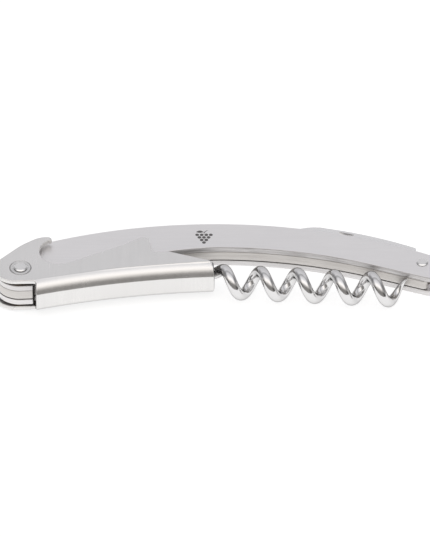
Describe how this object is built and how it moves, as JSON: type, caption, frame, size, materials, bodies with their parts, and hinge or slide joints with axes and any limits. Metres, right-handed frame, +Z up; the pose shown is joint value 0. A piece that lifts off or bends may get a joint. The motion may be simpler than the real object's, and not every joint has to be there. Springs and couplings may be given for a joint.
{
  "type": "folding lever corkscrew",
  "caption": "Folding all-steel waiter's corkscrew: arched handle of two liners, channel lever with cap lifter, open spiral worm and foil knife, lying folded on its side.",
  "frame": {"origin": "centre of the folded tool's bounding box at its lowest level, as it lies on its side", "axes": "+X along the folded tool from the lever rivet to the knife rivet, +Y towards the convex back of the handle, +Z up through the thickness, along every hinge pin"},
  "size_m": [0.1192, 0.0294, 0.0112],
  "materials": {
    "liner_steel": "satin stainless steel, very fine grain",
    "core_steel": "satin stainless steel",
    "rivet_steel": "peened and lightly polished steel",
    "brushed_lever_steel": "satin sides, spine brushed across its width",
    "burr_steel": "turned steel",
    "polished_worm_steel": "mirror polished steel wire",
    "blade_steel": "satin ground blade steel",
    "washer_bronze": "plain bronze"
  },
  "bodies": {
    "handle": {"upper_liner": "liner_steel", "lower_liner": "liner_steel", "center_spacer": "core_steel", "knife_backspring": "core_steel", "spacer_dowels": "core_steel", "backspring_dowels": "core_steel", "lever_rivet": "rivet_steel", "lever_bush": "core_steel", "worm_pin": "rivet_steel", "knife_rivet": "rivet_steel"},
    "lever": {"lever_channel": "brushed_lever_steel", "lever_washer_upper": "burr_steel", "lever_washer_lower": "burr_steel", "lever_burr_upper": "burr_steel", "lever_burr_lower": "burr_steel"},
    "worm": {"worm_spiral": "polished_worm_steel", "worm_hinge_block": "core_steel"},
    "knife": {"knife_blade": "blade_steel", "knife_washer_upper": "washer_bronze", "knife_washer_lower": "washer_bronze"}
  },
  "joints": [
    {"name": "lever_hinge", "type": "hinge", "parent": "handle", "child": "lever", "pos_m": [-0.05267, -0.00672, 0.0056], "axis": [0, 0, -1], "range_deg": [0, 180]},
    {"name": "worm_hinge", "type": "hinge", "parent": "handle", "child": "worm", "pos_m": [-0.01727, -0.00202, 0.0056], "axis": [0, 0, -1], "range_deg": [0, 90]},
    {"name": "knife_hinge", "type": "hinge", "parent": "handle", "child": "knife", "pos_m": [0.05293, -0.00222, 0.0056], "axis": [0, 0, -1], "range_deg": [0, 180]}
  ],
  "couplings": [
    {"joint": "worm_hinge", "follows": "lever_hinge", "ratio": 0.5}
  ]
}
